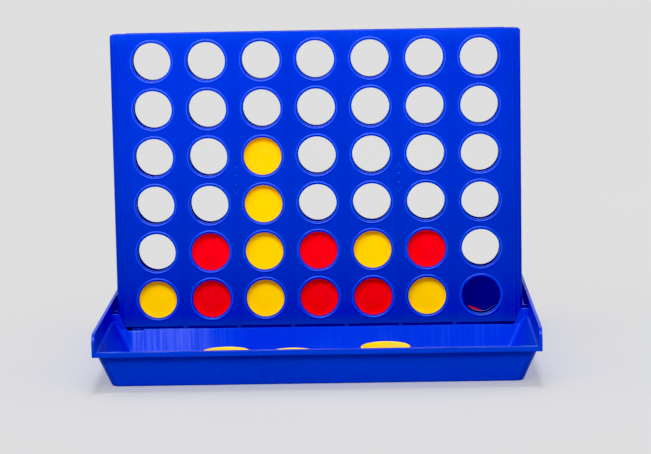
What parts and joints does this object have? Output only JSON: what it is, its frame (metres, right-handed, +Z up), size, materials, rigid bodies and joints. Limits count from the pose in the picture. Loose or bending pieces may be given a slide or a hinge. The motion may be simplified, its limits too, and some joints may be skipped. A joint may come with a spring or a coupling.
{
  "type": "four in a row frame",
  "caption": "Upright grid frame of round holes holding stacked discs, with a sliding release bar, lifting out of a shallow twin-pan base tray with loose discs.",
  "frame": {"origin": "middle of the base's footprint, on the table", "axes": "+X to the player's right along the columns row, +Y to the rear, +Z up"},
  "size_m": [0.2744, 0.224, 0.2083],
  "materials": {
    "blue_moulding": "semi-gloss moulded",
    "base_blue": "semi-gloss moulded, lightly scuffed",
    "yellow_disc": "semi-gloss moulded",
    "red_disc": "semi-gloss moulded"
  },
  "bodies": {
    "base": {"base_tray": "base_blue"},
    "frame": {"front_panel": "blue_moulding", "rear_panel": "blue_moulding", "left_rail": "blue_moulding", "right_rail": "blue_moulding", "column_dividers": "blue_moulding", "panel_pins": "blue_moulding"},
    "release_bar": {"release_bar": "base_blue"},
    "disc_c1_r1": {"disc_c1_r1": "yellow_disc"},
    "disc_c2_r1": {"disc_c2_r1": "red_disc"},
    "disc_c2_r2": {"disc_c2_r2": "red_disc"},
    "disc_c3_r1": {"disc_c3_r1": "yellow_disc"},
    "disc_c3_r2": {"disc_c3_r2": "yellow_disc"},
    "disc_c3_r3": {"disc_c3_r3": "yellow_disc"},
    "disc_c3_r4": {"disc_c3_r4": "yellow_disc"},
    "disc_c4_r1": {"disc_c4_r1": "red_disc"},
    "disc_c4_r2": {"disc_c4_r2": "red_disc"},
    "disc_c5_r1": {"disc_c5_r1": "red_disc"},
    "disc_c5_r2": {"disc_c5_r2": "yellow_disc"},
    "disc_c6_r1": {"disc_c6_r1": "yellow_disc"},
    "disc_c6_r2": {"disc_c6_r2": "red_disc"},
    "yellow_pile_1": {"yellow_pile_1": "yellow_disc"},
    "yellow_pile_2": {"yellow_pile_2": "yellow_disc"},
    "yellow_pile_3": {"yellow_pile_3": "yellow_disc"},
    "yellow_pile_4": {"yellow_pile_4": "yellow_disc"},
    "yellow_pile_5": {"yellow_pile_5": "yellow_disc"},
    "yellow_pile_6": {"yellow_pile_6": "yellow_disc"},
    "red_pile_1": {"red_pile_1": "red_disc"},
    "red_pile_2": {"red_pile_2": "red_disc"},
    "red_pile_3": {"red_pile_3": "red_disc"},
    "red_pile_4": {"red_pile_4": "red_disc"},
    "red_leaning_disc": {"red_leaning_disc": "red_disc"}
  },
  "joints": [
    {"name": "frame_lift", "type": "slide", "parent": "base", "child": "frame", "axis": [0, 0, 1], "range_m": [0, 0.06]},
    {"name": "bar_slide", "type": "slide", "parent": "frame", "child": "release_bar", "axis": [1, 0, 0], "range_m": [0, 0.0175]},
    {"name": "disc_c1_r1_lift", "type": "slide", "parent": "frame", "child": "disc_c1_r1", "axis": [0, 0, 1], "range_m": [0, 0.194]},
    {"name": "disc_c2_r1_lift", "type": "slide", "parent": "frame", "child": "disc_c2_r1", "axis": [0, 0, 1], "range_m": [0, 0.194]},
    {"name": "disc_c2_r2_lift", "type": "slide", "parent": "disc_c2_r1", "child": "disc_c2_r2", "axis": [0, 0, 1], "range_m": [0, 0.163]},
    {"name": "disc_c3_r1_lift", "type": "slide", "parent": "frame", "child": "disc_c3_r1", "axis": [0, 0, 1], "range_m": [0, 0.194]},
    {"name": "disc_c3_r2_lift", "type": "slide", "parent": "disc_c3_r1", "child": "disc_c3_r2", "axis": [0, 0, 1], "range_m": [0, 0.163]},
    {"name": "disc_c3_r3_lift", "type": "slide", "parent": "disc_c3_r2", "child": "disc_c3_r3", "axis": [0, 0, 1], "range_m": [0, 0.132]},
    {"name": "disc_c3_r4_lift", "type": "slide", "parent": "disc_c3_r3", "child": "disc_c3_r4", "axis": [0, 0, 1], "range_m": [0, 0.102]},
    {"name": "disc_c4_r1_lift", "type": "slide", "parent": "frame", "child": "disc_c4_r1", "axis": [0, 0, 1], "range_m": [0, 0.194]},
    {"name": "disc_c4_r2_lift", "type": "slide", "parent": "disc_c4_r1", "child": "disc_c4_r2", "axis": [0, 0, 1], "range_m": [0, 0.163]},
    {"name": "disc_c5_r1_lift", "type": "slide", "parent": "frame", "child": "disc_c5_r1", "axis": [0, 0, 1], "range_m": [0, 0.194]},
    {"name": "disc_c5_r2_lift", "type": "slide", "parent": "disc_c5_r1", "child": "disc_c5_r2", "axis": [0, 0, 1], "range_m": [0, 0.163]},
    {"name": "disc_c6_r1_lift", "type": "slide", "parent": "frame", "child": "disc_c6_r1", "axis": [0, 0, 1], "range_m": [0, 0.194]},
    {"name": "disc_c6_r2_lift", "type": "slide", "parent": "disc_c6_r1", "child": "disc_c6_r2", "axis": [0, 0, 1], "range_m": [0, 0.163]},
    {"name": "yellow_pile_1_lift", "type": "slide", "parent": "base", "child": "yellow_pile_1", "axis": [0, 0, 1], "range_m": [0, 0.05]},
    {"name": "yellow_pile_2_lift", "type": "slide", "parent": "base", "child": "yellow_pile_2", "axis": [0, 0, 1], "range_m": [0, 0.05]},
    {"name": "yellow_pile_3_lift", "type": "slide", "parent": "base", "child": "yellow_pile_3", "axis": [0, 0, 1], "range_m": [0, 0.05]},
    {"name": "yellow_pile_4_lift", "type": "slide", "parent": "base", "child": "yellow_pile_4", "axis": [0, 0, 1], "range_m": [0, 0.05]},
    {"name": "yellow_pile_5_lift", "type": "slide", "parent": "base", "child": "yellow_pile_5", "axis": [0, 0, 1], "range_m": [0, 0.05]},
    {"name": "yellow_pile_6_lift", "type": "slide", "parent": "base", "child": "yellow_pile_6", "axis": [0, 0, 1], "range_m": [0, 0.05]},
    {"name": "red_pile_1_lift", "type": "slide", "parent": "base", "child": "red_pile_1", "axis": [0, 0, 1], "range_m": [0, 0.05]},
    {"name": "red_pile_2_lift", "type": "slide", "parent": "base", "child": "red_pile_2", "axis": [0, 0, 1], "range_m": [0, 0.05]},
    {"name": "red_pile_3_lift", "type": "slide", "parent": "base", "child": "red_pile_3", "axis": [0, 0, 1], "range_m": [0, 0.05]},
    {"name": "red_pile_4_lift", "type": "slide", "parent": "base", "child": "red_pile_4", "axis": [0, 0, 1], "range_m": [0, 0.05]},
    {"name": "red_leaning_disc_lift", "type": "slide", "parent": "red_pile_4", "child": "red_leaning_disc", "axis": [0, 0, 1], "range_m": [0, 0.05]}
  ]
}
